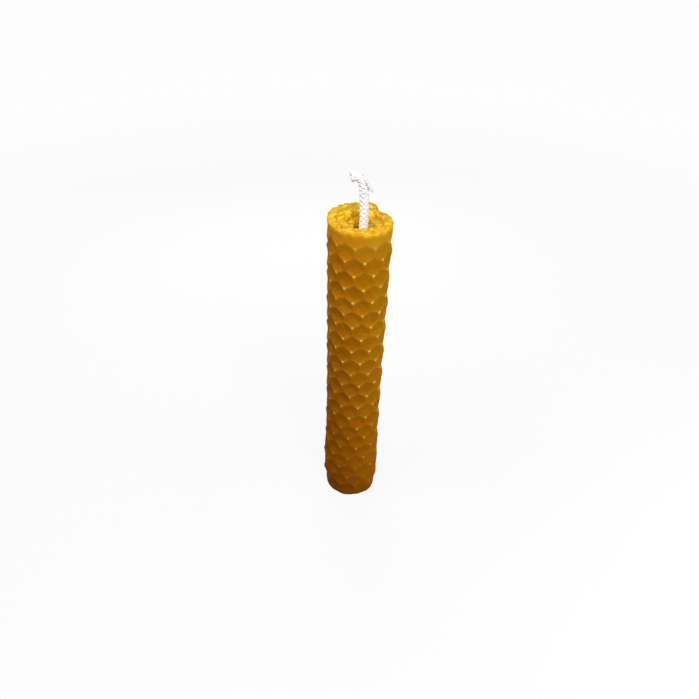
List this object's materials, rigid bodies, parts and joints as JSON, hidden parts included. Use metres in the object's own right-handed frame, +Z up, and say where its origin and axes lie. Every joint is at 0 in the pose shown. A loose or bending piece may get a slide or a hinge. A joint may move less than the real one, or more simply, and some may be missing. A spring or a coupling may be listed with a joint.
{
  "type": "rolled candle",
  "caption": "Slim candle rolled from a strip of honeycomb-embossed beeswax round a braided cotton wick, whose frayed end bends over above the rim.",
  "frame": {"origin": "under the middle of the roll's outline, on the plane that its foot stands on", "axes": "+Z up along the wick, -Y towards the side that the picture shows as the front, +X to its right"},
  "size_m": [0.0172, 0.0182, 0.1136],
  "materials": {
    "beeswax": "satin honey-gold beeswax with comb cells pressed into it",
    "cotton": "unbleached white braided cotton"
  },
  "bodies": {
    "root": {"wax_sheet": "beeswax", "wick": "cotton"}
  },
  "joints": []
}
